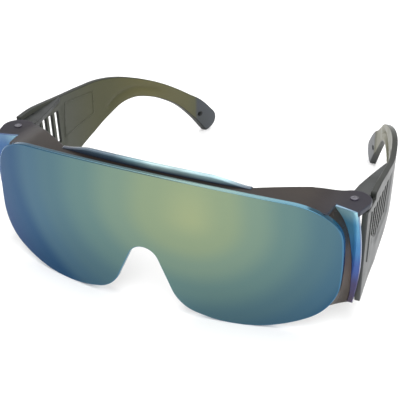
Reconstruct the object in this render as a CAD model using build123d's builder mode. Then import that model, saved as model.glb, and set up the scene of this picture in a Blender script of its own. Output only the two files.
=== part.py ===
"""Over-spectacles with a one-piece mirrored front, two hinged temples and four hinge pins.

Millimetres, +Z up, the front looks along -Y and +X is the wearer's left.
The part stands on the lower edge of the front and on the two temple tips: the
origin is on that resting plane, under the middle of the box of the whole part.
"""

from build123d import *
import os

os.makedirs("parts", exist_ok=True)

# Overall
LENGTH = 148.16
FRONT_Y = -LENGTH / 2
LENS_H = 55.4

# Lens panel and the shell behind it
WRAP_R = 180.0
LENS_T = 2.2
WALL_T = 1.6
WALL_INSET = 0.9
WALL_REACH = 9.5
WALL_FROM_X = 59.0
WING_Y = 20.0
WING_INNER_X = 58.0
WING_TOP_X = 72.4
WING_BOTTOM = 8.9
REACH = 90.0

# Brow shelf, raised lip and nose rest
SHELF_T = 2.0
SHELF_TOP = LENS_H - 0.8
SHELF_BEND_X = 57.0
SHELF_BEND_Z = SHELF_TOP - 4.4
LIP_HALF = 37.5
LIP_CUT_X = 40.0
LIP_RISE = 1.9
LIP_T = 1.9
LIP_END_TOP = 52.8 + LIP_RISE
LIP_END_LOW = 52.0 - SHELF_T
NOSE_DEPTH = 6.0
NOSE_HALF = 17.0

# Hinges
PIN_X = 68.8
PIN_Y = FRONT_Y + 27.0
PIN_R = 0.9
PIN_HEAD_R = 1.5
PIN_HEAD_H = 0.45
PIN_RUN = 0.05
LUG_R = 6.2
LUG_TOP = 47.7
LUG_T = 2.2
LUG_INNER_X = 66.0
EAR_R = 2.7
EAR_T = 2.2
EAR_NECK = 6.4
KNUCKLE_R = 2.9
KNUCKLE_T = 2.2
KNUCKLE_ARM = 4.9
GAP = 0.3

# Temples
TEMPLE_T = 2.2
SHIELD_FRONT = 23.2
SHIELD_TOP = LUG_TOP - LUG_T - GAP
NOTCH_END = 34.0
FLANGE_T = 2.0
FLANGE_TOP = 46.2
SLIT_W = 2.2
SLIT_PITCH = 4.15
SLIT_COUNT = 7
SLIT_START = 31.6
SLIT_TOP = 40.2
TIP_HOLE_R = 1.0
TIP_HOLE_Y = 140.0
TIP_HOLE_Z = 9.8


# Half of the lens outline seen from the front, as (x, z): the ends of its bends in turn
BROW_END = (51.7, 51.6)
LENS_BENDS = [
    (64.1, 46.8), (69.8, 37.1), (69.8, 19.8), (60.1, 5.5), (41.2, 0.12), (20.0, 2.1), (10.7, 10.5),
]
NOSE_CORNER = (5.6, 21.6)
NOSE_TOP = 25.0


def depth(y):
    """A distance behind the middle of the front, as a place along Y."""
    return FRONT_Y + y


def wrap_shell(back, thick):
    """The sketch of a curved sheet in plan, its outer face back mm behind the lens face."""
    centre = FRONT_Y + WRAP_R
    with BuildSketch(Plane.XY, mode=Mode.PRIVATE) as ring:
        with Locations((0, centre)):
            Circle(WRAP_R - back)
            Circle(WRAP_R - back - thick, mode=Mode.SUBTRACT)
        with Locations((0, centre)):
            Rectangle(3 * WRAP_R, 2 * WRAP_R, align=(Align.CENTER, Align.MIN), mode=Mode.SUBTRACT)
    return ring.sketch


# One half of the lens outline: along the brow, round the side, under the lobe, up to the nose
with BuildSketch(Plane.XZ) as lens_outline:
    with BuildLine():
        bend = TangentArc((0, LENS_H), BROW_END, tangent=(1, 0))
        for end in LENS_BENDS:
            bend = TangentArc(bend @ 1, end, tangent=bend % 1)
        Line(LENS_BENDS[-1], NOSE_CORNER)
        TangentArc((0, NOSE_TOP), NOSE_CORNER, tangent=(1, 0))
        mirror(about=Plane.YZ)
    make_face()

with BuildSketch(Plane.XZ) as wall_outline:
    add(lens_outline.sketch)
    offset(amount=-WALL_INSET)

with BuildSketch(Plane.XZ) as wall_inside:
    add(lens_outline.sketch)
    offset(amount=-WALL_INSET - WALL_T)

# Plan of the brow shelf and the two hinge lugs: narrow in the middle, wide at the sides
with BuildSketch(Plane.XY) as shelf_plan:
    with BuildLine():
        ThreePointArc((0, depth(6.6)), (19, depth(8.0)), (LIP_HALF, depth(11.4)))
        ThreePointArc((LIP_HALF, depth(11.4)), (50, depth(20.9)), (PIN_X - 3.5, PIN_Y + 5.1))
        Polyline(
            (PIN_X - 3.5, PIN_Y + 5.1), (PIN_X, PIN_Y), (73.4, depth(23.4)), (73.4, depth(WING_Y)),
            (67.0, depth(WING_Y)), (66.0, depth(10)), (0, depth(-3)),
        )
        mirror(about=Plane.YZ)
    make_face()
    with Locations((PIN_X, PIN_Y), (-PIN_X, PIN_Y)):
        Circle(LUG_R)

# The band that the shelf follows, seen from the front
with BuildSketch(Plane.XZ) as shelf_band:
    with BuildLine():
        TangentArc((0, SHELF_TOP), (SHELF_BEND_X, SHELF_BEND_Z), tangent=(1, 0))
        Polyline(
            (SHELF_BEND_X, SHELF_BEND_Z), (LUG_INNER_X, LUG_TOP), (REACH, LUG_TOP), (REACH, LUG_TOP - LUG_T),
            (LUG_INNER_X, LUG_TOP - LUG_T), (SHELF_BEND_X, SHELF_BEND_Z - SHELF_T),
        )
        TangentArc((0, SHELF_TOP - SHELF_T), (SHELF_BEND_X, SHELF_BEND_Z - SHELF_T), tangent=(1, 0))
        mirror(about=Plane.YZ)
    make_face()

# The wings beside the lens, which face forward and stand back from it
with BuildSketch(Plane.XZ) as wing_outline:
    with BuildLine():
        Polyline((WING_INNER_X, WING_BOTTOM), (WING_INNER_X, LUG_TOP), (WING_TOP_X, LUG_TOP))
        ThreePointArc((WING_TOP_X, LUG_TOP), (74.2, 28), (72.6, WING_BOTTOM))
        Line((72.6, WING_BOTTOM), (WING_INNER_X, WING_BOTTOM))
    make_face()
    mirror(about=Plane.YZ)

with BuildPart() as lens_panel:
    add(wrap_shell(0, LENS_T))
    extrude(amount=LENS_H + 10)
    extrude(lens_outline.sketch, amount=REACH, both=True, mode=Mode.INTERSECT)

with BuildPart() as shelf:
    add(shelf_plan.sketch)
    extrude(amount=LENS_H)
    extrude(shelf_band.sketch, amount=REACH, both=True, mode=Mode.INTERSECT)
    with BuildSketch(Plane.XY) as in_front:
        add(wrap_shell(-30, 30 + 0.5 * LENS_T))
    extrude(in_front.sketch, amount=LENS_H, mode=Mode.SUBTRACT)

with BuildPart() as side_walls:
    add(wrap_shell(0.5 * LENS_T, WALL_REACH - 0.5 * LENS_T))
    extrude(amount=LENS_H)
    extrude(wall_outline.sketch, amount=REACH, both=True, mode=Mode.INTERSECT)
    extrude(wall_inside.sketch, amount=REACH, both=True, mode=Mode.SUBTRACT)
    with Locations((0, 0, WING_BOTTOM)):
        Box(
            2 * WALL_FROM_X, 4 * REACH, LENS_H,
            align=(Align.CENTER, Align.CENTER, Align.MIN), mode=Mode.SUBTRACT,
        )
    Box(
        4 * REACH, 4 * REACH, WING_BOTTOM,
        align=(Align.CENTER, Align.CENTER, Align.MIN), mode=Mode.SUBTRACT,
    )

with BuildPart() as wings:
    with BuildSketch(Plane.XY) as wing_plan:
        with Locations((0, depth(WING_Y))):
            Rectangle(4 * REACH, WALL_T, align=(Align.CENTER, Align.MIN))
    extrude(amount=LENS_H)
    extrude(wing_outline.sketch, amount=REACH, both=True, mode=Mode.INTERSECT)
    extrude(wall_inside.sketch, amount=REACH, both=True, mode=Mode.SUBTRACT)

with BuildPart() as nose_rest:
    add(wrap_shell(0.5 * LENS_T, NOSE_DEPTH - 0.5 * LENS_T))
    extrude(amount=LENS_H)
    extrude(lens_outline.sketch, amount=REACH, both=True, mode=Mode.INTERSECT)
    extrude(wall_inside.sketch, amount=REACH, both=True, mode=Mode.SUBTRACT)
    with BuildSketch(Plane.XZ) as nose_zone:
        with Locations((0, 14)):
            Rectangle(2 * NOSE_HALF, 26)
    extrude(nose_zone.sketch, amount=REACH, both=True, mode=Mode.INTERSECT)

with BuildPart() as brow_lip:
    with BuildSketch(Plane.XY) as lip_plan:
        with BuildLine():
            ThreePointArc((-LIP_HALF, depth(11.4)), (0, depth(6.6)), (LIP_HALF, depth(11.4)))
            Line((LIP_HALF, depth(11.4)), (LIP_HALF, depth(11.4 - LIP_T)))
            ThreePointArc(
                (LIP_HALF, depth(11.4 - LIP_T)), (0, depth(6.6 - LIP_T)), (-LIP_HALF, depth(11.4 - LIP_T))
            )
            Line((-LIP_HALF, depth(11.4 - LIP_T)), (-LIP_HALF, depth(11.4)))
        make_face()
    extrude(amount=LENS_H + 4)
    with BuildSketch(Plane.XZ) as lip_band:
        with BuildLine():
            ThreePointArc((-LIP_CUT_X, LIP_END_TOP), (0, LENS_H - 0.2 + LIP_RISE), (LIP_CUT_X, LIP_END_TOP))
            Line((LIP_CUT_X, LIP_END_TOP), (LIP_CUT_X, LIP_END_LOW))
            ThreePointArc((LIP_CUT_X, LIP_END_LOW), (0, LENS_H - SHELF_T), (-LIP_CUT_X, LIP_END_LOW))
            Line((-LIP_CUT_X, LIP_END_LOW), (-LIP_CUT_X, LIP_END_TOP))
        make_face()
    extrude(lip_band.sketch, amount=REACH, both=True, mode=Mode.INTERSECT)

with BuildPart() as front:
    add(lens_panel.part)
    add(shelf.part)
    add(side_walls.part)
    add(wings.part)
    add(nose_rest.part)
    add(brow_lip.part)
    # Lower hinge ears, each on a neck behind its wing
    for side in (1, -1):
        with BuildSketch(Plane.XY.offset(WING_BOTTOM)) as ear:
            with Locations((side * PIN_X, PIN_Y)):
                Circle(EAR_R)
            with Locations((side * (PIN_X - 0.6), PIN_Y)):
                Rectangle(2 * EAR_R - 1.2, EAR_NECK, align=(Align.CENTER, Align.MAX))
        extrude(amount=EAR_T)
    # Pin holes
    with Locations((PIN_X, PIN_Y, 0), (-PIN_X, PIN_Y, 0)):
        Cylinder(PIN_R, LENS_H, align=(Align.CENTER, Align.CENTER, Align.MIN), mode=Mode.SUBTRACT)

front.part.label = "front"
export_step(front.part, "parts/front.step")


# Hinge pins: a shaft pressed into the front and running in the temple, with a flat head outside
with BuildPart() as upper_pin:
    with Locations((PIN_X, PIN_Y, SHIELD_TOP - KNUCKLE_T)):
        Cylinder(PIN_R, LUG_T + GAP + KNUCKLE_T, align=(Align.CENTER, Align.CENTER, Align.MIN))
    with Locations((PIN_X, PIN_Y, LUG_TOP)):
        Cylinder(PIN_HEAD_R, PIN_HEAD_H, align=(Align.CENTER, Align.CENTER, Align.MIN))
    chamfer(upper_pin.edges().group_by(Axis.Z)[-1], PIN_HEAD_H / 2)

with BuildPart() as lower_pin:
    with Locations((PIN_X, PIN_Y, WING_BOTTOM)):
        Cylinder(PIN_R, EAR_T + GAP + KNUCKLE_T, align=(Align.CENTER, Align.CENTER, Align.MIN))
    with Locations((PIN_X, PIN_Y, WING_BOTTOM)):
        Cylinder(PIN_HEAD_R, PIN_HEAD_H, align=(Align.CENTER, Align.CENTER, Align.MAX))
    chamfer(lower_pin.edges().group_by(Axis.Z)[0], PIN_HEAD_H / 2)

# Plan of the temple's outer face at its top edge: straight along the shield, then round the head
TEMPLE_PLAN = [
    (75.2, SHIELD_FRONT), (74.6, 41.6), (73.9, 54.0), (72.9, 64.5), (71.0, 73.8), (68.4, 83.2),
    (65.0, 92.6), (61.2, 102.0), (57.6, 111.3), (54.3, 120.6), (51.0, 130.0), (47.3, 138.3), (41.0, 149.6),
]
# How far the same face leans in at the height of the resting plane
TEMPLE_LEAN = [0.6, 2.6, 3.0, 2.6, 1.8, 1.0, 0.4, 0, 0, 0, 0, 0, 0]

# Side view of the temple, as (distance behind the front, height)
TEMPLE_TOP = [
    (NOTCH_END, 47.6), (42, 48.0), (52, 47.1), (63, 46.0), (74, 45.6), (84, 45.3), (94, 43.5),
    (104, 39.9), (114, 35.2), (124, 29.4), (134, 22.4), (142, 15.8), (147.0, 9.5),
]
TEMPLE_UNDER = [
    (143.2, 0.0), (137.5, 8.2), (130, 16.6), (120, 23.9), (110, 28.9), (103, 30.9), (96, 30.4),
    (89, 27.2), (80, 22.4),
]


def strip_plan(height, lean):
    """The temple's section in plan at a height, lean being the share of TEMPLE_LEAN there."""
    outer = [Vector(x - lean * shift, depth(y)) for (x, y), shift in zip(TEMPLE_PLAN, TEMPLE_LEAN)]
    inner = []
    for index, point in enumerate(outer):
        along = (outer[min(index + 1, len(outer) - 1)] - outer[max(index - 1, 0)]).normalized()
        inner.append(point + Vector(-along.Y, along.X) * TEMPLE_T)
    with BuildSketch(Plane.XY.offset(height)) as plan:
        with BuildLine():
            Spline(*outer)
            Line(outer[-1], inner[-1])
            Spline(*inner[::-1])
            Line(inner[0], outer[0])
        make_face()
    return plan.sketch


with BuildPart() as strip:
    loft([strip_plan(0, 1.0), strip_plan(LENS_H, 0.0)], ruled=True)

with BuildSketch(Plane.YZ) as temple_side:
    with BuildLine():
        Polyline(
            (depth(80), 22.4), (depth(60), 13.6), (depth(50), WING_BOTTOM),
            (depth(SHIELD_FRONT), WING_BOTTOM), (depth(SHIELD_FRONT), SHIELD_TOP),
            (depth(NOTCH_END), SHIELD_TOP), (depth(NOTCH_END), 47.6),
        )
        Spline(*[(depth(y), z) for y, z in TEMPLE_TOP])
        ThreePointArc((depth(147.0), 9.5), (depth(147.6), 3.4), (depth(143.2), 0.0))
        Spline(*[(depth(y), z) for y, z in TEMPLE_UNDER])
    make_face()

# The window in the shield that the ventilation slits are cut in
with BuildSketch(Plane.YZ) as vent_window:
    with BuildLine():
        Polyline(
            (depth(30.4), SLIT_TOP), (depth(59.4), SLIT_TOP), (depth(60.4), 26.6), (depth(44), 23.6),
            (depth(34), 31.0), close=True,
        )
    make_face()

with BuildPart() as slits:
    for index in range(SLIT_COUNT):
        with Locations((PIN_X, depth(SLIT_START + index * SLIT_PITCH), 0)):
            Box(20, SLIT_W, LENS_H, align=(Align.CENTER, Align.MIN, Align.MIN))
    extrude(vent_window.sketch, amount=REACH, both=True, mode=Mode.INTERSECT)

with BuildPart() as temple_left:
    add(strip.part)
    extrude(temple_side.sketch, amount=REACH, both=True, mode=Mode.INTERSECT)
    # Top flange of the shield, wide beside the hinge and running out along the arm
    with BuildSketch(Plane.XY.offset(FLANGE_TOP - FLANGE_T)):
        with BuildLine():
            Polyline((73.4, depth(NOTCH_END)), (66.0, depth(NOTCH_END)), (66.4, depth(40)))
            Spline((66.4, depth(40)), (68.6, depth(52)), (71.4, depth(64)))
            Line((71.4, depth(64)), (72.4, depth(54)))
            Line((72.4, depth(54)), (73.4, depth(NOTCH_END)))
        make_face()
    extrude(amount=FLANGE_T)
    # Knuckles round the two pins, joined to the shield
    for bottom in (SHIELD_TOP - KNUCKLE_T, WING_BOTTOM + EAR_T + GAP):
        with BuildSketch(Plane.XY.offset(bottom)):
            with Locations((PIN_X, PIN_Y)):
                Circle(KNUCKLE_R)
            with Locations((PIN_X, PIN_Y + KNUCKLE_R)):
                Rectangle(KNUCKLE_ARM, KNUCKLE_R + 1.0, align=(Align.MIN, Align.MAX))
        extrude(amount=KNUCKLE_T)
    # A web that carries the flange down to the upper knuckle
    with BuildSketch(Plane.XY.offset(SHIELD_TOP - KNUCKLE_T)):
        with BuildLine():
            Polyline(
                (PIN_X, PIN_Y + KNUCKLE_R), (66.0, depth(NOTCH_END)), (66.3, depth(38)), (73.2, depth(38)),
                (73.4, PIN_Y), (PIN_X, PIN_Y), close=True,
            )
        make_face()
    extrude(amount=KNUCKLE_T)
    with Locations((PIN_X, PIN_Y, 0)):
        Cylinder(PIN_R + PIN_RUN, LENS_H, align=(Align.CENTER, Align.CENTER, Align.MIN), mode=Mode.SUBTRACT)
    add(slits.part, mode=Mode.SUBTRACT)
    # Cord hole through the tip
    with BuildSketch(Plane.YZ) as tip_hole:
        with Locations((depth(TIP_HOLE_Y), TIP_HOLE_Z)):
            Circle(TIP_HOLE_R)
    extrude(amount=REACH, mode=Mode.SUBTRACT)

PAIRED = {"temple": temple_left, "upper_hinge_pin": upper_pin, "lower_hinge_pin": lower_pin}
for side, name in ((1, "left"), (-1, "right")):
    for kind, shape in PAIRED.items():
        with BuildPart() as piece:
            add(shape.part)
            if side < 0:
                mirror(about=Plane.YZ, mode=Mode.REPLACE)
        piece.part.label = f"{kind}_{name}"
        export_step(piece.part, f"parts/{kind}_{name}.step")
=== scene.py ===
"""Looks of the over-spectacles: mirrored one-piece front, smoke temples and hinge pins."""

import math

import bpy
import numpy as np
from mathutils import Matrix, Vector
from mathutils.geometry import delaunay_2d_cdt


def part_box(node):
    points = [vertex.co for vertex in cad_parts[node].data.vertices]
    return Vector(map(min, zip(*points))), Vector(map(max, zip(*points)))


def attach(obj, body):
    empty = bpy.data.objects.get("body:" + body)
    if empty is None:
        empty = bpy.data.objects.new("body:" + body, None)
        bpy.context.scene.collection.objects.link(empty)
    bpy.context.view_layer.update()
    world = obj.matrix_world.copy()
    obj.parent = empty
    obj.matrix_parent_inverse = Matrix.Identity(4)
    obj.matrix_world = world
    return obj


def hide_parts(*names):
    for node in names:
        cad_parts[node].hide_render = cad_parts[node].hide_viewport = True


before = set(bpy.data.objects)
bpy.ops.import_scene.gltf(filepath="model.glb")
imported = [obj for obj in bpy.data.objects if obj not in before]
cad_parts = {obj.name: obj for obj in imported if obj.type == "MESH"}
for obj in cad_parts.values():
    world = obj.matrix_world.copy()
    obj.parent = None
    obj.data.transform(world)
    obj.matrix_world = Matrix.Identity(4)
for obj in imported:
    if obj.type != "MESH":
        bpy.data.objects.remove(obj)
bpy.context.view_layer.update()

# Sizes in millimetres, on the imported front
MM = 0.001
FRONT_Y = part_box("front")[0].y / MM

# Lens, walls and wings
LENS_H = 55.4
WRAP_R = 180.0
LENS_T = 2.2
LENS_BEVEL = 0.45
LENS_BENDS = [
    (51.7, 51.6), (64.1, 46.8), (69.8, 37.1), (69.8, 19.8), (60.1, 5.5), (41.2, 0.12), (20.0, 2.1),
    (10.7, 10.5),
]
NOSE_CORNER = (5.6, 21.6)
NOSE_TOP = 25.0
NOSE_HALF = 17.0
NOSE_REST_TOP = 27.0
NOSE_DEPTH = 6.0
WALL_T = 1.6
WALL_INSET = 0.9
WALL_FROM_X = 58.0
WALL_STEPS = 8
WING_Y = 20.0
WING_T = 1.6
WING_TOP_X = 72.7
WING_INNER_X = 64.0
WING_WIDTH = 10.0
WING_BOTTOM = 8.9
VALLEY_STEPS = 44

# Brow shelf and raised lip
SHELF_TOP = LENS_H - 0.8
SHELF_T = 2.0
SHELF_HALF = 57.0
SHELF_FALL = 4.4
SHELF_BEND_X = 55.0
SHELF_TO_LUG = (53.0, 65.5)
SHELF_CORNER_X = 63.4
SHELF_BACK = 1.3
LIP_HALF = 37.5
LIP_RISE = 1.9
LIP_TOP = LENS_H - 0.2 + LIP_RISE
LIP_T = 1.9
LIP_H = 3.7
LIP_TAPER = 1.8
LIP_TAPER_LENGTH = 14.0
LIP_CURVE_HALF = 40.0
LIP_CURVE_FALL = 2.4
LIP_END_Y = 11.4
LIP_MIDDLE_Y = 6.6

# Hinges and temples
PIN_X = 68.8
PIN_Y = FRONT_Y + 27.0
PIN_R = 0.9
PIN_HEAD_R = 1.5
PIN_PLAY = 0.05
LUG_TOP = 47.7
LUG_T = 2.2
WING_TOP = LUG_TOP - 0.2
EAR_R = 2.7
EAR_T = 2.2
EAR_NECK = 6.4
KNUCKLE_R = 2.9
KNUCKLE_T = 2.2
KNUCKLE_ARM = 4.9
GAP = 0.3
SHIELD_TOP = LUG_TOP - LUG_T - GAP
LOW_KNUCKLE_TOP = WING_BOTTOM + EAR_T + GAP + KNUCKLE_T
TEMPLE_T = 2.2
SHIELD_FRONT = 23.2
NOTCH_Y = 34.0
ARM_Y = 80.0
TIP_LOW = (143.2, 0.0)
TIP_BACK = (147.0, 9.5)
FLANGE_TOP = 46.2
FLANGE_T = 2.0
SLIT_W = 2.2
SLIT_PITCH = 4.15
SLIT_COUNT = 7
SLIT_START = 31.6
WINDOW_TOP = 40.2
WINDOW_DEPTH = 0.5
TIP_HOLE = (140.0, 9.8)
TIP_HOLE_R = 1.0

# Each side as the sign of its x and its name; +X is the wearer's left
SIDES = ((1, "left"), (-1, "right"))

# Camera, its target and the lamps' target, in metres
EYE = Vector((155.0, FRONT_Y - 277.0, 226.0)) * MM
AIM = Vector((22.9, FRONT_Y, 50.2)) * MM
LIT = Vector((0, 0, 0.03))
FOCAL_LENGTH = 94.1
SENSOR_WIDTH = 36.0
ROLL = math.radians(-0.4)
FLOOR_HALF = 3


def depth(y):
    """A distance behind the middle of the front, as a place along Y."""
    return FRONT_Y + y


# ---------------------------------------------------------------- outlines
def line(a, b, step=1.0):
    """Points from a to b, without b."""
    count = max(1, math.ceil(math.dist(a, b) / step))
    return [(a[0] + (b[0] - a[0]) * i / count, a[1] + (b[1] - a[1]) * i / count) for i in range(count)]


def path(corners):
    """Points of the straight lines through the corners, without the last corner."""
    return [p for a, b in zip(corners, corners[1:]) for p in line(a, b)]


def round_part(centre, radius, start, turn, step):
    """Points of a circular arc, without its end."""
    count = max(2, math.ceil(abs(turn) * abs(radius) / step))
    angles = [start + turn * i / count for i in range(count)]
    return [(centre[0] + radius * math.cos(t), centre[1] + radius * math.sin(t)) for t in angles]


def arc(a, m, b, step=0.8):
    """Points of the arc from a through m to b, without b."""
    d = 2 * (a[0] * (m[1] - b[1]) + m[0] * (b[1] - a[1]) + b[0] * (a[1] - m[1]))
    squares = [p[0] ** 2 + p[1] ** 2 for p in (a, m, b)]
    cx = (squares[0] * (m[1] - b[1]) + squares[1] * (b[1] - a[1]) + squares[2] * (a[1] - m[1])) / d
    cy = (squares[0] * (b[0] - m[0]) + squares[1] * (a[0] - b[0]) + squares[2] * (m[0] - a[0])) / d
    at = [math.atan2(p[1] - cy, p[0] - cx) for p in (a, m, b)]
    turn = (at[2] - at[0]) % math.tau
    if (at[1] - at[0]) % math.tau > turn:
        turn -= math.tau
    return round_part((cx, cy), math.dist(a, (cx, cy)), at[0], turn, step)


def leaving(a, b, heading, step=0.8):
    """Points of the arc that leaves a at a heading and ends at b, and its heading there."""
    chord = math.atan2(b[1] - a[1], b[0] - a[0])
    half = (chord - heading + math.pi) % math.tau - math.pi
    radius = math.dist(a, b) / (2 * math.sin(half))
    centre = (a[0] - radius * math.sin(heading), a[1] + radius * math.cos(heading))
    start = heading - math.pi / 2
    return round_part(centre, radius, start, 2 * half, step), heading + 2 * half


def circle(centre, radius, step=0.35):
    """Points of a full circle."""
    return round_part(centre, radius, 0, math.tau, step)


def curve(points):
    """A smooth function through the points."""
    xs = np.array([p[0] for p in points], float)
    ys = np.array([p[1] for p in points], float)
    slopes = np.gradient(ys, xs)

    def value(x):
        x = min(max(x, xs[0]), xs[-1])
        i = min(max(int(np.searchsorted(xs, x)) - 1, 0), len(xs) - 2)
        h = xs[i + 1] - xs[i]
        t = (x - xs[i]) / h
        return float(
            ys[i] * (1 + 2 * t) * (1 - t) ** 2 + slopes[i] * h * t * (1 - t) ** 2
            + ys[i + 1] * t * t * (3 - 2 * t) + slopes[i + 1] * h * t * t * (t - 1)
        )

    return value


def smooth(value, low, high):
    """0 below low, 1 above high and an even rise between them."""
    t = min(max((value - low) / (high - low), 0.0), 1.0)
    return t * t * (3 - 2 * t)


def area(loop):
    """The area of a loop, negative if it runs clockwise."""
    p = np.array(loop)
    q = np.roll(p, -1, axis=0)
    return float((p[:, 0] * q[:, 1] - q[:, 0] * p[:, 1]).sum()) / 2


def inset(loop, amount):
    """The loop moved to its left by an amount."""
    p = np.array(loop, float)
    ahead = np.roll(p, -1, axis=0) - p
    ahead /= np.linalg.norm(ahead, axis=1)[:, None]
    left = np.stack([-ahead[:, 1], ahead[:, 0]], axis=1)
    before = np.roll(left, 1, axis=0)
    share = 1 + (left * before).sum(axis=1)
    return p + amount * (left + before) / np.maximum(share, 0.35)[:, None]


def inside(points, loops):
    """Which points the loops enclose, counting crossings."""
    points = np.asarray(points, float).reshape(-1, 2)
    count = np.zeros(len(points), int)
    for loop in loops:
        a = np.asarray(loop, float)
        b = np.roll(a, -1, axis=0)
        for (ax, ay), (bx, by) in zip(a, b):
            if ay == by:
                continue
            crosses = (points[:, 1] < ay) != (points[:, 1] < by)
            x = ax + (points[:, 1] - ay) * (bx - ax) / (by - ay)
            count += crosses & (points[:, 0] < x)
    return count % 2 == 1


# ---------------------------------------------------------------- mesh work
MERGE = 1e-6


def fill(loops, grid):
    """Triangles between the loops, with a staggered grid of points in the middle."""
    edge = np.vstack(loops)
    low, high = edge.min(axis=0), edge.max(axis=0)
    rows = np.arange(low[1] + grid / 2, high[1], grid * 0.87)
    middle = []
    for number, v in enumerate(rows):
        for u in np.arange(low[0] + (grid / 2 if number % 2 else 0), high[0], grid):
            middle.append((u, v))
    middle = np.array(middle).reshape(-1, 2)
    if len(middle):
        middle = middle[inside(middle, loops)]
    if len(middle):
        gaps = np.array([np.min(np.sum((edge - m) ** 2, axis=1)) for m in middle])
        middle = middle[gaps > (0.6 * grid) ** 2]
    points = np.vstack([edge, middle]) if len(middle) else edge
    borders, base = [], 0
    for loop in loops:
        borders += [(base + i, base + (i + 1) % len(loop)) for i in range(len(loop))]
        base += len(loop)
    corners = [Vector(p) for p in points]
    _, _, faces, sources, _, _ = delaunay_2d_cdt(corners, borders, [], 0, MERGE)
    back = [source[0] for source in sources]
    faces = [[back[i] for i in face] for face in faces]
    centres = np.array([points[f].mean(axis=0) for f in faces])
    kept = inside(centres, loops)
    faces = [f for f, keep in zip(faces, kept) if keep]
    turned = []
    for f in faces:
        a, b, c = points[f]
        flip = (b[0] - a[0]) * (c[1] - a[1]) - (b[1] - a[1]) * (c[0] - a[0]) < 0
        turned.append(f[::-1] if flip else f)
    return points, turned


def new_object(name, verts, faces, material, body, node, rims=None, depths=None):
    """A smooth piece; rims marks its edges and depths runs from its outer to its inner face."""
    mesh = bpy.data.meshes.new(name)
    mesh.from_pydata([Vector(v) * MM for v in verts], [], faces)
    mesh.validate()
    for label, values in (("rim", rims), ("inner", depths)):
        attribute = mesh.attributes.new(label, "FLOAT", "POINT")
        attribute.data.foreach_set("value", np.array(values or [0.0] * len(verts), np.float32))
    for face in mesh.polygons:
        face.use_smooth = True
    mesh.materials.append(material)
    piece = bpy.data.objects.new(name, mesh)
    bpy.context.scene.collection.objects.link(piece)
    normals = piece.modifiers.new("even_shading", "WEIGHTED_NORMAL")
    normals.weight = 80
    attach(piece, body)
    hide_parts(node)
    return piece


def plate(name, loops, place, thick, bevel, material, body, node, grid=4.0, steps=3, flip=False,
          rimmed=True):
    """A closed plate with rounded edges; place(u, v, w) puts a point w below its face in space."""
    ordered = []
    for number, loop in enumerate(loops):
        wanted = area(loop) > 0 if number == 0 else area(loop) < 0
        ordered.append(list(loop) if wanted else list(loop)[::-1])
    angles = [math.pi / 2 * j / steps for j in range(steps + 1)]
    profile = [(bevel * (1 - math.sin(t)), bevel * (1 - math.cos(t))) for t in angles]
    profile += [(i, thick - w) for i, w in profile[::-1]]
    points, triangles = fill([inset(loop, bevel) for loop in ordered], grid)
    border = sum(len(loop) for loop in ordered)
    verts, rims, depths = [], [], []
    for w in (0.0, thick):
        verts += [place(u, v, w) for u, v in points]
        rims += [0.0] * len(points)
        depths += [w / thick] * len(points)
    faces = [tuple(f) for f in triangles]
    faces += [tuple(len(points) + i for i in f[::-1]) for f in triangles]
    rows = [list(range(border))]
    for amount, w in profile[1:-1]:
        rows.append(list(range(len(verts), len(verts) + border)))
        for loop in ordered:
            verts += [place(u, v, w) for u, v in inset(loop, amount)]
        rims += [float(rimmed)] * border
        depths += [w / thick] * border
    rows.append(list(range(len(points), len(points) + border)))
    base = 0
    for loop in ordered:
        for i in range(len(loop)):
            a, b = base + i, base + (i + 1) % len(loop)
            for upper, lower in zip(rows, rows[1:]):
                faces.append((upper[b], upper[a], lower[a], lower[b]))
        base += len(loop)
    if flip:
        faces = [f[::-1] for f in faces]
    return new_object(name, verts, faces, material, body, node, rims, depths)


def turned_piece(name, centre, profile, material, body, node, around=48):
    """A closed piece turned about a vertical axis, from its profile of (radius, height)."""
    verts, faces = [(centre[0], centre[1], profile[0][1])], []
    for r, z in profile:
        for i in range(around):
            t = math.tau * i / around
            verts.append((centre[0] + r * math.cos(t), centre[1] + r * math.sin(t), z))
    verts.append((centre[0], centre[1], profile[-1][1]))
    for row in range(len(profile) - 1):
        for i in range(around):
            a, b = 1 + row * around + i, 1 + row * around + (i + 1) % around
            faces.append((a, b, b + around, a + around))
    last = 1 + (len(profile) - 1) * around
    for i in range(around):
        faces.append((0, 1 + (i + 1) % around, 1 + i))
        faces.append((len(verts) - 1, last + i, last + (i + 1) % around))
    return new_object(name, verts, faces, material, body, node)


# ---------------------------------------------------------------- materials
def linear(r, g, b):
    """A colour from its 0 to 255 screen values, which are all over 10 here."""
    return tuple(((c / 255 + 0.055) / 1.055) ** 2.4 for c in (r, g, b)) + (1.0,)


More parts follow.
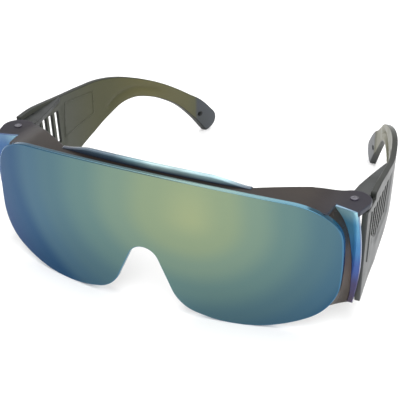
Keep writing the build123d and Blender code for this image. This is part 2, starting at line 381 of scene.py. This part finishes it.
class Nodes:
    """Short names for the nodes of one material."""

    def __init__(self, name):
        self.material = bpy.data.materials.new(name)
        self.material.use_nodes = True
        self.tree = self.material.node_tree
        self.shader = self.tree.nodes["Principled BSDF"]
        self.where = self.add("ShaderNodeTexCoord").outputs["Object"]

    def add(self, kind, **settings):
        node = self.tree.nodes.new(kind)
        for key, value in settings.items():
            setattr(node, key, value)
        return node

    def link(self, a, b):
        self.tree.links.new(a, b)

    def sums(self, operation, a, b=0.0):
        """One arithmetic step on numbers or sockets."""
        node = self.add("ShaderNodeMath", operation=operation)
        for socket, value in zip(node.inputs, (a, b)):
            if isinstance(value, (int, float)):
                socket.default_value = value
            else:
                self.link(value, socket)
        return node.outputs[0]

    def uneven(self, value, over, under):
        """The value over one span where it is positive and over another where it is negative."""
        high = self.sums("DIVIDE", self.sums("MAXIMUM", value), over)
        low = self.sums("DIVIDE", self.sums("MINIMUM", value), under)
        return self.sums("ADD", high, low)

    def place(self):
        """The three coordinates in the part's own frame, in metres."""
        split = self.add("ShaderNodeSeparateXYZ")
        self.link(self.where, split.inputs[0])
        return split.outputs

    def noise(self, scale, detail=3.0, stretch=(1, 1, 1)):
        mapping = self.add("ShaderNodeMapping")
        mapping.inputs["Scale"].default_value = stretch
        self.link(self.where, mapping.inputs["Vector"])
        node = self.add("ShaderNodeTexNoise")
        node.inputs["Scale"].default_value = scale
        node.inputs["Detail"].default_value = detail
        self.link(mapping.outputs[0], node.inputs["Vector"])
        return node.outputs["Fac"]

    def ramp(self, factor, stops):
        """Colours along a factor, from stops of (place, screen colour)."""
        node = self.add("ShaderNodeValToRGB")
        node.color_ramp.interpolation = "EASE"
        while len(node.color_ramp.elements) < len(stops):
            node.color_ramp.elements.new(0.5)
        for element, (at, colour) in zip(node.color_ramp.elements, stops):
            element.position = at
            element.color = linear(*colour)
        self.link(factor, node.inputs["Fac"])
        return node.outputs["Color"]

    def mix(self, factor, a, b):
        node = self.add("ShaderNodeMix", data_type="RGBA")
        colours = [socket for socket in node.inputs if socket.type == "RGBA"]
        for socket, value in zip([node.inputs["Factor"]] + colours, (factor, a, b)):
            if isinstance(value, (int, float, tuple)):
                socket.default_value = value
            else:
                self.link(value, socket)
        return [s for s in node.outputs if s.type == "RGBA"][0]

    def ranged(self, value, low, high, to_low=0.0, to_high=1.0):
        node = self.add("ShaderNodeMapRange")
        node.inputs["From Min"].default_value = low
        node.inputs["From Max"].default_value = high
        node.inputs["To Min"].default_value = to_low
        node.inputs["To Max"].default_value = to_high
        self.link(value, node.inputs["Value"])
        return node.outputs[0]

    def finish(self, colour, roughness, bump=None, strength=0.1, **constants):
        """The material, with its varying sockets linked and its constant ones set."""
        self.link(colour, self.shader.inputs["Base Color"])
        self.link(roughness, self.shader.inputs["Roughness"])
        if bump is not None:
            node = self.add("ShaderNodeBump")
            node.inputs["Strength"].default_value = strength
            node.inputs["Distance"].default_value = 0.2 * MM
            self.link(bump, node.inputs["Height"])
            self.link(node.outputs[0], self.shader.inputs["Normal"])
        for key, value in constants.items():
            self.shader.inputs[key.replace("_", " ")].default_value = value
        return self.material

    def rim(self, share):
        """A share on the rounded edges and 0 elsewhere."""
        fac = self.add("ShaderNodeAttribute", attribute_name="rim").outputs["Fac"]
        return self.sums("MULTIPLY", fac, share)

    def inner(self):
        """0 on a plate's outer face and 1 on its inner one."""
        return self.add("ShaderNodeAttribute", attribute_name="inner").outputs["Fac"]


GOLD_X, GOLD_Z = 0.019, 0.041
LIP_BEND = 0.669


def mirror_coat():
    """Metal coat whose colour runs from gold in the middle through green to blue at the sides, with a
    painted light-blue highlight on its rounded edges.
    """
    n = Nodes("mirror_coat")
    x, _, z = n.place()
    dx = n.sums("SUBTRACT", x, GOLD_X)
    dz = n.sums("SUBTRACT", z, GOLD_Z)
    across = n.uneven(dx, 0.041, 0.0545)
    down = n.uneven(dz, 0.080, 0.036)
    far = n.sums("SQRT", n.sums("ADD", n.sums("MULTIPLY", across, across), n.sums("MULTIPLY", down, down)))
    drift = n.sums("MULTIPLY", n.sums("SUBTRACT", n.noise(14.0, 2.0), 0.5), 0.10)
    ring = n.sums("DIVIDE", n.sums("ADD", far, drift), 2.0)
    colour = n.ramp(ring, [
        (0.0, (138, 149, 115)), (0.16, (124, 140, 114)), (0.28, (109, 131, 117)), (0.41, (91, 118, 116)),
        (0.56, (75, 104, 114)), (0.66, (66, 97, 115)), (0.76, (34, 72, 105)), (0.92, (22, 56, 100)),
    ])
    # Painted highlight: the lens's rounded edges are mixed towards light blue, by half low down and by about
    # a third at the top.
    upper = n.ranged(z, 0.035, 0.052, 0.5, 0.35)
    colour = n.mix(n.rim(upper), colour, linear(66, 122, 160))
    colour = n.mix(n.ranged(n.inner(), 0.7, 1.0), colour, linear(62, 66, 54))
    haze = n.ranged(n.noise(60.0, 4.0), 0.3, 0.7, 0.12, 0.18)
    return n.finish(colour, haze, n.noise(25.0, 1.0), 0.02, Metallic=1.0)


def brow_plastic():
    """Dark brown moulding that turns blue-black at the lugs, with a painted blue-grey highlight on its
    rounded edges.
    """
    n = Nodes("brow_plastic")
    x = n.place()[0]
    side = n.ranged(n.sums("ABSOLUTE", x), 0.055, 0.070)
    streak = n.noise(30.0, 4.0, (0.3, 2.0, 1.0))
    warm = n.ramp(streak, [(0.3, (34, 28, 25)), (0.7, (46, 38, 33))])
    cool = n.ramp(streak, [(0.3, (28, 26, 34)), (0.7, (38, 35, 46))])
    colour = n.mix(side, warm, cool)
    # Painted highlight: the rounded edges are mixed about a third of the way towards light blue-grey.
    colour = n.mix(n.rim(0.35), colour, linear(78, 86, 98))
    return n.finish(colour, n.ranged(streak, 0.2, 0.8, 0.24, 0.36), n.noise(120.0, 3.0), 0.08,
                    Specular_IOR_Level=0.14)


def lip_plastic():
    """Blue-grey edge moulding with a painted highlight: bright along its top, most just to the +X side of
    the middle, and dark below it.
    """
    n = Nodes("lip_plastic")
    x, _, z = n.place()
    # Painted reflection: dull blue-grey towards both ends of the lip, bright cyan just to the +X side of the
    # middle.
    along = n.ranged(x, -0.038, 0.038)
    colour = n.ramp(along, [
        (0.0, (74, 84, 98)), (0.3, (84, 108, 124)), (0.42, (128, 164, 174)), (0.55, (190, 222, 224)),
        (0.82, (170, 206, 212)), (1.0, (96, 124, 142)),
    ])
    bend = n.sums("DIVIDE", n.sums("MULTIPLY", x, x), LIP_BEND)
    # Painted highlight: only a band along the top of the lip keeps these colours; below it the lip is dark
    # navy.
    upper = n.ranged(n.sums("ADD", z, bend), 0.0548, 0.0566)
    colour = n.mix(upper, linear(34, 46, 66), colour)
    speck = n.noise(90.0, 5.0, (0.4, 1.0, 1.0))
    colour = n.mix(n.ranged(speck, 0.45, 0.65, 0.0, 0.5), colour, linear(40, 50, 66))
    return n.finish(colour, n.ranged(speck, 0.2, 0.8, 0.06, 0.16), n.noise(40.0, 2.0), 0.08,
                    Metallic=0.2, Coat_Weight=0.6, Coat_Roughness=0.04)


def wing_coat():
    """Blue coat on the wings, cyan at the top and purple at the foot, with painted shade darkening the wing
    on the wearer's right.
    """
    n = Nodes("wing_coat")
    x, _, z = n.place()
    up = n.ranged(z, 0.0089, 0.0477)
    drift = n.sums("MULTIPLY", n.sums("SUBTRACT", n.noise(40.0), 0.5), 0.08)
    colour = n.ramp(n.sums("ADD", up, drift), [
        (0.0, (60, 50, 66)), (0.2, (58, 52, 92)), (0.4, (54, 84, 150)), (0.6, (60, 120, 172)),
        (0.85, (84, 148, 184)), (0.98, (150, 196, 208)),
    ])
    # Painted shade: the wing on the wearer's right, beyond 60 mm out, is mixed up to three quarters towards
    # deep blue.
    colour = n.mix(n.ranged(x, -0.070, -0.060, 0.75, 0.0), colour, linear(34, 62, 120))
    colour = n.mix(n.rim(0.55), colour, linear(62, 58, 112))
    return n.finish(colour, n.ranged(n.noise(70.0), 0.3, 0.7, 0.10, 0.18), n.noise(30.0, 1.0), 0.03,
                    Metallic=0.55, Coat_Weight=0.3, Coat_Roughness=0.05)


def wall_plastic():
    """Dark inner walls of the front, with a painted taupe highlight half way up."""
    n = Nodes("wall_plastic")
    # Painted highlight: dark at the foot and top, with a lighter taupe band half way up.
    up = n.ranged(n.place()[2], 0.006, 0.048)
    colour = n.ramp(up, [
        (0.0, (40, 34, 30)), (0.15, (56, 48, 42)), (0.35, (78, 68, 62)), (0.6, (82, 72, 64)),
        (0.78, (46, 40, 36)), (1.0, (40, 34, 30)),
    ])
    colour = n.mix(n.ranged(n.noise(60.0, 4.0), 0.4, 0.7, 0.0, 0.4), colour, linear(36, 32, 30))
    return n.finish(colour, n.ranged(n.noise(90.0), 0.3, 0.7, 0.2, 0.32), n.noise(140.0, 3.0), 0.06,
                    Specular_IOR_Level=0.25)


def smoke_plastic():
    """Tinted polycarbonate: olive inside the arm, grey inside the shield and outside, dark at its edges."""
    n = Nodes("smoke_plastic")
    y = n.place()[1]
    along = n.ranged(y, -0.050, 0.074)
    flow = n.noise(22.0, 4.0, (1.0, 0.35, 1.0))
    colour = n.ramp(along, [
        (0.0, (76, 78, 74)), (0.28, (84, 86, 78)), (0.5, (84, 84, 62)), (0.7, (94, 91, 60)),
        (0.88, (92, 90, 64)), (0.913, (90, 90, 68)), (0.925, (72, 76, 82)), (1.0, (80, 84, 92)),
    ])
    colour = n.mix(n.ranged(flow, 0.35, 0.7, 0.0, 0.35), colour, linear(60, 62, 50))
    outer = n.ramp(flow, [(0.3, (66, 68, 67)), (0.7, (84, 86, 87))])
    colour = n.mix(n.inner(), outer, colour)
    dark_edge = n.ranged(y, -0.0500, -0.0405, 0.0, 0.8)
    colour = n.mix(n.rim(dark_edge), colour, linear(40, 42, 40))
    return n.finish(colour, n.ranged(n.noise(80.0), 0.3, 0.7, 0.28, 0.38), n.noise(160.0, 3.0), 0.06,
                    Specular_IOR_Level=0.16, IOR=1.45)


def flange_plastic():
    """The thick dark flange and knuckles beside the hinge."""
    n = Nodes("flange_plastic")
    grain = n.noise(70.0, 5.0)
    colour = n.ramp(grain, [(0.3, (36, 38, 37)), (0.7, (58, 60, 60))])
    return n.finish(colour, n.ranged(grain, 0.3, 0.7, 0.22, 0.38), n.noise(150.0, 3.0), 0.1,
                    Specular_IOR_Level=0.25)


def pin_plastic():
    """Dark pins with a fine grain."""
    n = Nodes("pin_plastic")
    grain = n.noise(400.0, 4.0)
    colour = n.ramp(grain, [(0.3, (42, 38, 48)), (0.7, (66, 62, 78))])
    return n.finish(colour, n.ranged(grain, 0.3, 0.7, 0.16, 0.28), grain, 0.1, Coat_Weight=0.4)


def floor_paint():
    """Matt white."""
    n = Nodes("floor_paint")
    colour = n.ramp(n.noise(3.0, 2.0), [(0.2, (250, 250, 250)), (0.8, (253, 253, 253))])
    return n.finish(colour, n.ranged(n.noise(8.0), 0.3, 0.7, 0.75, 0.85), Specular_IOR_Level=0.1)


MIRROR, BROW, LIP, WING = mirror_coat(), brow_plastic(), lip_plastic(), wing_coat()
WALL, SMOKE, FLANGE, PIN = wall_plastic(), smoke_plastic(), flange_plastic(), pin_plastic()
FLOOR = floor_paint()


# ---------------------------------------------------------------- the front
def lens_half():
    """The lens outline on the wearer's left, from the brow round to the nose."""
    points, heading, here = [], 0.0, (0, LENS_H)
    for end in LENS_BENDS:
        more, heading = leaving(here, end, heading)
        points += more
        here = end
    points += line(here, NOSE_CORNER, 0.8)
    over, _ = leaving((0, NOSE_TOP), NOSE_CORNER, 0.0, 0.5)
    return points + [NOSE_CORNER] + over[:0:-1]


def mirrored(points):
    """The points on the other side, in the opposite order."""
    return [(-u, v) for u, v in points][::-1]


HALF = lens_half()
LENS = (HALF + [(0, NOSE_TOP)] + mirrored(HALF[1:]))[::-1]


def behind(x, back):
    """Where the curved front is along Y, back mm behind the lens face."""
    return FRONT_Y + WRAP_R - math.sqrt((WRAP_R - back) ** 2 - x * x)


def on_wrap(back):
    """Places on the curved front, from back mm behind the lens face."""
    def place(x, z, w):
        return (x, behind(x, back + w), z)
    return place


def at_height(top):
    """Places on a level face."""
    def place(x, y, w):
        return (x, y, top - w)
    return place


def brow_drop(x, half, fall):
    """How far a brow curve has fallen at x, if it falls that much at half."""
    radius = (half * half + fall * fall) / (2 * fall)
    return radius - math.sqrt(radius * radius - x * x)


def shelf_height(x):
    """The top of the shelf, which leaves the brow curve to reach the lugs."""
    x = abs(x)
    brow = SHELF_TOP - brow_drop(min(x, SHELF_BEND_X), SHELF_HALF, SHELF_FALL)
    if x <= SHELF_BEND_X:
        return brow
    return brow + (LUG_TOP - brow) * smooth(x, *SHELF_TO_LUG)


def on_shelf(x, y, w):
    """A place w mm below the top of the shelf."""
    return (x, y, shelf_height(x) - w)


def on_lip(x, y, w):
    """A place w mm below the top of the lip, which runs down at its ends."""
    end = LIP_TAPER * smooth(abs(x), LIP_HALF - LIP_TAPER_LENGTH, LIP_HALF)
    return (x, y, LIP_TOP - brow_drop(x, LIP_CURVE_HALF, LIP_CURVE_FALL) - end - w)


plate("lens_panel", [LENS], on_wrap(0), LENS_T, LENS_BEVEL, MIRROR, "front", "front", grid=3.0, steps=4)


def nose_band():
    """The strip round the nose notch between the outer and inner line of the walls."""
    outer, inner = inset(LENS, WALL_INSET), inset(LENS, WALL_INSET + WALL_T)
    chosen = [i for i, (x, z) in enumerate(LENS) if abs(x) < NOSE_HALF and z < NOSE_REST_TOP]
    return [tuple(outer[i]) for i in chosen] + [tuple(inner[i]) for i in chosen[::-1]]


# How far out the side wall stands where it meets the wing, by height; the wing's foot is cut level
FLARE = curve([
    (8.9, 71.0), (11.3, 71.6), (18.0, 72.0), (26.2, 72.0), (32.0, 71.4), (39.4, 69.7), (44.2, 67.2),
    (47.7, 64.0),
])


def wall_line(side):
    """The side wall where it leaves the lens, from the top down, as (x, z)."""
    low, high = WING_BOTTOM + 0.6, LUG_TOP - 0.3
    edge = [tuple(p) for p in inset(LENS, LENS_BEVEL) if side * p[0] > WALL_FROM_X and low < p[1] < high]
    edge.sort(key=lambda p: -p[1])
    top = (edge[0][0] - side * 0.9, LUG_TOP)
    foot = (edge[-1][0] - side * 0.7, WING_BOTTOM)
    return [top] + edge + [foot]


def flared_wall(side, name):
    """A curved strip from behind the lens edge back and out to the wing."""
    rows = []
    for x, z in wall_line(side):
        start = behind(x, 0.6 * LENS_T)
        end = depth(WING_Y + 1.2)
        outer, inner = [], []
        for k in range(WALL_STEPS + 1):
            t = k / WALL_STEPS
            lean = t * (0.45 + 0.55 * t)
            y = start + (end - start) * t
            px = side * abs(x) * (1 - lean) + side * FLARE(z) * lean
            outer.append((px, y, z))
            inner.append((px - side * WALL_T, y, z))
        rows.append(outer + inner[::-1])
    width = 2 * (WALL_STEPS + 1)
    verts = [p for row in rows for p in row]
    faces = []
    for r in range(len(rows) - 1):
        for k in range(width):
            a, b = r * width + k, r * width + (k + 1) % width
            faces.append((a, b, b + width, a + width))
    for base, turn in ((0, -1), ((len(rows) - 1) * width, 1)):
        for k in range(WALL_STEPS):
            quad = (base + k, base + k + 1, base + width - 2 - k, base + width - 1 - k)
            faces.append(quad[::turn])
    if side > 0:
        faces = [f[::-1] for f in faces]
    return new_object("side_wall_" + name, verts, faces, WALL, "front", "front")


def on_wing(x, z, w):
    """The wing's face stands nearly square to the front and comes forward a little at its outer top."""
    up = (z - WING_BOTTOM) / (LUG_TOP - WING_BOTTOM)
    outward = (abs(x) - WING_INNER_X) / WING_WIDTH
    return (x, depth(WING_Y + 0.9 * (1 - up) - 1.6 * outward * up + w), z)


for side, name in SIDES:
    flared_wall(side, name)
    heights = [WING_TOP - (WING_TOP - WING_BOTTOM) * i / VALLEY_STEPS for i in range(VALLEY_STEPS + 1)]
    valley = [(side * (FLARE(z) - 0.6), z) for z in heights]
    wing = line(valley[0], (side * WING_TOP_X, WING_TOP))
    wing += arc((side * WING_TOP_X, WING_TOP), (side * 74.6, 30), (side * 72.4, WING_BOTTOM))
    wing += [(side * 72.6, WING_BOTTOM)] + valley[:0:-1]
    plate("wing_" + name, [wing], on_wing, WING_T, 0.3, WING, "front", "front", steps=3)

plate("nose_rest", [nose_band()], on_wrap(0.5 * LENS_T), NOSE_DEPTH - 0.5 * LENS_T, 0.3, WALL,
      "front", "front", steps=2)

# The shelf seen from above, as (x, y): along the wing, round the lug and along the back to the middle
lug_side, lug_round = (74.6, depth(24.4)), (PIN_X - 3.5, PIN_Y + 5.1)
lip_end, lip_middle = (LIP_HALF, depth(LIP_END_Y)), (0, depth(LIP_MIDDLE_Y))
shelf_half = [(SHELF_CORNER_X, behind(SHELF_CORNER_X, SHELF_BACK))]
shelf_half += path([(63.9, depth(14)), (64.4, depth(21.0)), (73.2, depth(18.6)), lug_side])
shelf_half += arc(lug_side, (75.0, depth(27)), lug_round, 0.5)
shelf_half += arc(lug_round, (50, depth(20.9)), lip_end)
shelf_half += arc(lip_end, (19, depth(8.0)), lip_middle)
shelf_front = np.linspace(-SHELF_CORNER_X, SHELF_CORNER_X, 130)[1:-1]
shelf_plan = shelf_half + [lip_middle] + mirrored(shelf_half)
shelf_plan += [(x, behind(x, SHELF_BACK)) for x in shelf_front]
holes = [circle((side * PIN_X, PIN_Y), PIN_R) for side, _ in SIDES]
plate("brow_shelf", [shelf_plan] + holes, on_shelf, SHELF_T, 0.35, BROW, "front", "front", grid=2.5, steps=3)

lip_rear = [(-LIP_HALF, depth(LIP_END_Y)), lip_middle, lip_end]
lip_fore = [(x, y - LIP_T) for x, y in lip_rear[::-1]]
lip_plan = arc(*lip_rear) + line(lip_rear[-1], lip_fore[0], 0.5)
lip_plan += arc(*lip_fore) + line(lip_fore[-1], lip_rear[0], 0.5)
plate("brow_lip", [lip_plan], on_lip, LIP_H, 0.55, LIP, "front", "front", steps=4)

# ---------------------------------------------------------------- the temples
# A temple is drawn from the side, as (y, z), with y behind the middle of the front.
# PLAN is how far out it stands, LEAN how much less that is at its foot.
PLAN = curve([
    (23.2, 75.2), (41.6, 74.6), (54.0, 73.9), (64.5, 72.9), (73.8, 71.0), (83.2, 68.4), (92.6, 65.0),
    (102.0, 61.2), (111.3, 57.6), (120.6, 54.3), (130.0, 51.0), (138.3, 47.3), (149.6, 41.0),
])
LEAN = curve([
    (23.2, 0.6), (41.6, 2.6), (54, 3.0), (64.5, 2.6), (73.8, 1.8), (83.2, 1.0), (92.6, 0.4), (102, 0),
    (150, 0),
])
TOP = curve([
    (34, 47.6), (42, 48.0), (52, 47.1), (63, 46.0), (74, 45.6), (84, 45.3), (94, 43.5), (104, 39.9),
    (114, 35.2), (124, 29.4), (134, 22.4), (142, 15.8), (147.0, 9.5),
])
UNDER = curve([
    (80, 22.4), (89, 27.2), (96, 30.4), (103, 30.9), (110, 28.9), (120, 23.9), (130, 16.6), (137.5, 8.2),
    (143.2, 0.0),
])
WINDOW_LOW = curve([
    (30.4, 40.2), (32.2, 35.6), (34.0, 31.0), (39.0, 27.3), (44.0, 23.6), (52.2, 25.1), (60.4, 26.6),
])


def window(y, z):
    """How far a place on the shield is inside the sunk field round the slits, from 0 to 1."""
    low = WINDOW_LOW(y) - 1.8
    beside = smooth(y, 28.6, 30.0) * (1 - smooth(y, 60.8, 62.2))
    return beside * smooth(z, low - 1.2, low) * (1 - smooth(z, 41.2, 42.4))


def relief_out(y, z):
    """The shallow recess round the ventilation slits on the outer face."""
    return WINDOW_DEPTH * window(y, z)


def relief_in(y, z):
    """On the inner face: the recess, a groove and a rib along the arm's lower edge, and the tip's pad."""
    along = smooth(y, 86, 92) * (1 - smooth(y, 112, 126))
    above = z - UNDER(y)
    groove = -1.1 * along * math.exp(-((above - 4.4) / 1.0) ** 2)
    rib = 0.45 * along * math.exp(-((above - 1.9) / 1.2) ** 2)
    pad = 0.5 * smooth(y, 136.5, 138.5)
    return groove + rib + pad - WINDOW_DEPTH * window(y, z)


def on_temple(side, start=0.0):
    """A place start + w mm inside the outer face of a temple, from its side view."""
    def place(y, z, w):
        slope = PLAN(y + 0.5) - PLAN(y - 0.5)
        x = PLAN(y) - LEAN(y) * (1 - z / LENS_H)
        w = w + start
        share = min(w / TEMPLE_T, 1.0)
        x -= w * math.sqrt(1 + slope * slope) + relief_in(y, z) * share + relief_out(y, z) * (1 - share)
        return (side * x, depth(y), z)
    return place


temple_loop = path([(SHIELD_FRONT, WING_BOTTOM), (50, WING_BOTTOM), (60, 13.6), (ARM_Y, 22.4)])
temple_loop += [(y, UNDER(y)) for y in np.linspace(ARM_Y, TIP_LOW[0], 90)[:-1]]
temple_loop += arc(TIP_LOW, (147.6, 3.4), TIP_BACK, 0.6)
temple_loop += [(y, TOP(y)) for y in np.linspace(TIP_BACK[0], NOTCH_Y, 130)[:-1]]
temple_loop += line((NOTCH_Y, 47.6), (NOTCH_Y, SHIELD_TOP), 0.8)
temple_loop += path([(NOTCH_Y, SHIELD_TOP), (SHIELD_FRONT, SHIELD_TOP), (SHIELD_FRONT, WING_BOTTOM)])

slits = []
for index in range(SLIT_COUNT):
    y0 = SLIT_START + index * SLIT_PITCH
    y1 = y0 + SLIT_W
    low0, low1 = (y0, WINDOW_LOW(y0)), (y1, WINDOW_LOW(y1))
    slit = line((y0, WINDOW_TOP), low0) + line(low0, low1, 0.7)
    slit += line(low1, (y1, WINDOW_TOP)) + line((y1, WINDOW_TOP), (y0, WINDOW_TOP), 0.7)
    slits.append(slit)
tip_hole = circle(TIP_HOLE, TIP_HOLE_R)

panel_out = path([(61, 27), (80, 31), (80.5, 41.5), (63, 42.5), (61, 27)])
panel_in = [tuple(p) for p in inset(panel_out, 0.55)]
bead = path([(29.0, 42.6), (29.0, 22.0), (29.7, 22.0), (29.7, 42.6), (29.0, 42.6)])

# Hinge pieces seen from above, as (x, y), on the wearer's left
flange = path([(73.4, depth(34)), (66.0, depth(34)), (66.4, depth(40))])
flange += arc((66.4, depth(40)), (68.2, depth(50)), (70.3, depth(60)))
flange += path([(70.3, depth(60)), (71.9, depth(60)), (73.4, depth(34))])

arm_x, arm_fore, arm_rear = PIN_X + KNUCKLE_ARM, PIN_Y - 1.0, PIN_Y + KNUCKLE_R
fillet = (PIN_X + 2.72, arm_fore)
knuckle = arc((PIN_X, arm_rear), (PIN_X - KNUCKLE_R, PIN_Y), (PIN_X, PIN_Y - KNUCKLE_R), 0.4)
knuckle += arc((PIN_X, PIN_Y - KNUCKLE_R), (PIN_X + 1.4, PIN_Y - 2.54), fillet, 0.4)
knuckle += path([fillet, (arm_x, arm_fore), (arm_x, arm_rear), (PIN_X, arm_rear)])

web = path([
    (PIN_X, PIN_Y + 2.0), (66.0, depth(33.5)), (66.3, depth(38)), (73.2, depth(38)), (73.4, PIN_Y + 1.5),
    (PIN_X, PIN_Y + 2.0),
])

ear_in, ear_neck = PIN_X - EAR_R, PIN_Y - EAR_NECK
ear_corner = (PIN_X + 1.5, PIN_Y - 2.245)
ear = path([(ear_in, ear_neck), (ear_corner[0], ear_neck), ear_corner])
ear += arc(ear_corner, (PIN_X, PIN_Y + EAR_R), (ear_in, PIN_Y), 0.4)
ear += line((ear_in, PIN_Y), (ear_in, ear_neck))

pin_seat = circle((PIN_X, PIN_Y), PIN_R)
pin_bore = circle((PIN_X, PIN_Y), PIN_R + PIN_PLAY)


def sided(loop, side):
    """A plan drawn for the wearer's left, on either side."""
    return [(side * u, v) for u, v in loop]


for side, name in SIDES:
    body = "temple_" + name
    reverse = side < 0
    plate("temple_shell_" + name, [temple_loop] + slits + [tip_hole], on_temple(side), TEMPLE_T, 0.4,
          SMOKE, body, body, grid=1.2, steps=3, flip=reverse)
    plate("temple_bead_" + name, [bead], on_temple(side, -0.32), 0.6, 0.15, SMOKE, body, body, grid=3.0,
          steps=2, flip=reverse, rimmed=False)
    plate("temple_panel_" + name, [panel_out, panel_in], on_temple(side, TEMPLE_T - 0.05), 0.2, 0.08,
          SMOKE, body, body, grid=3.0, steps=2, flip=reverse, rimmed=False)
    plate("temple_flange_" + name, [sided(flange, side)], at_height(FLANGE_TOP), FLANGE_T, 0.35,
          FLANGE, body, body)
    plate("temple_web_" + name, [sided(web, side)], at_height(SHIELD_TOP), KNUCKLE_T, 0.25,
          FLANGE, body, body, steps=2)
    for level, top in (("upper", SHIELD_TOP), ("lower", LOW_KNUCKLE_TOP)):
        plate(f"{level}_knuckle_{name}", [sided(knuckle, side), sided(pin_bore, side)], at_height(top),
              KNUCKLE_T, 0.2, FLANGE, body, body, grid=1.5, steps=2)
    plate("hinge_ear_" + name, [sided(ear, side), sided(pin_seat, side)], at_height(WING_BOTTOM + EAR_T),
          EAR_T, 0.2, WALL, "front", "front", grid=1.5, steps=2)

    centre = (side * PIN_X, PIN_Y)
    top, low = LUG_TOP, SHIELD_TOP - KNUCKLE_T
    turned_piece("upper_pin_" + name, centre,
                 [(0.7, low), (PIN_R, low + 0.2), (PIN_R, top), (PIN_HEAD_R, top), (PIN_HEAD_R, top + 0.22),
                  (1.35, top + 0.38), (1.05, top + 0.45), (0.35, top + 0.45), (0.28, top + 0.33)],
                 PIN, "front", "upper_hinge_pin_" + name)
    top, low = LOW_KNUCKLE_TOP, WING_BOTTOM
    turned_piece("lower_pin_" + name, centre,
                 [(1.05, low - 0.45), (1.35, low - 0.38), (PIN_HEAD_R, low - 0.22), (PIN_HEAD_R, low),
                  (PIN_R, low), (PIN_R, top - 0.2), (0.7, top)],
                 PIN, "front", "lower_hinge_pin_" + name)

# ---------------------------------------------------------------- floor, light, camera
corners = [(-FLOOR_HALF, -FLOOR_HALF, 0), (FLOOR_HALF, -FLOOR_HALF, 0), (FLOOR_HALF, FLOOR_HALF, 0),
           (-FLOOR_HALF, FLOOR_HALF, 0)]
floor_mesh = bpy.data.meshes.new("floor")
floor_mesh.from_pydata(corners, [], [(0, 1, 2, 3)])
floor_mesh.materials.append(FLOOR)
floor = bpy.data.objects.new("floor", floor_mesh)
bpy.context.scene.collection.objects.link(floor)

# A white surround, brightest at the horizon
world = bpy.data.worlds.new("studio")
world.use_nodes = True
sky = world.node_tree
where = sky.nodes.new("ShaderNodeTexCoord")
split = sky.nodes.new("ShaderNodeSeparateXYZ")
fade = sky.nodes.new("ShaderNodeMapRange")
for label, value in (("From Min", 0.0), ("From Max", 0.85), ("To Min", 0.95), ("To Max", 0.3)):
    fade.inputs[label].default_value = value
background = sky.nodes["Background"]
background.inputs["Color"].default_value = (1.0, 1.0, 1.0, 1.0)
sky.links.new(where.outputs["Generated"], split.inputs[0])
sky.links.new(split.outputs["Z"], fade.inputs["Value"])
sky.links.new(fade.outputs[0], background.inputs["Strength"])
bpy.context.scene.world = world


def softbox(name, place, size, power):
    """A rectangular lamp turned towards the part."""
    data = bpy.data.lights.new(name, "AREA")
    data.shape = "RECTANGLE"
    data.size, data.size_y = size
    data.energy = power
    lamp = bpy.data.objects.new(name, data)
    lamp.location = place
    lamp.rotation_euler = (LIT - Vector(place)).to_track_quat("-Z", "Y").to_euler()
    bpy.context.scene.collection.objects.link(lamp)


softbox("key_softbox", (0.4, -0.7, 1.1), (1.8, 1.4), 18.0)
softbox("top_softbox", (-0.3, 0.5, 1.2), (1.8, 1.5), 16.0)

camera_data = bpy.data.cameras.new("camera")
camera_data.lens = FOCAL_LENGTH
camera_data.sensor_width = SENSOR_WIDTH
camera = bpy.data.objects.new("camera", camera_data)
turn = (AIM - EYE).to_track_quat("-Z", "Y").to_matrix() @ Matrix.Rotation(ROLL, 3, "Z")
camera.matrix_world = Matrix.Translation(EYE) @ turn.to_4x4()
bpy.context.scene.collection.objects.link(camera)
bpy.context.scene.camera = camera
bpy.context.scene.view_settings.view_transform = "Standard"
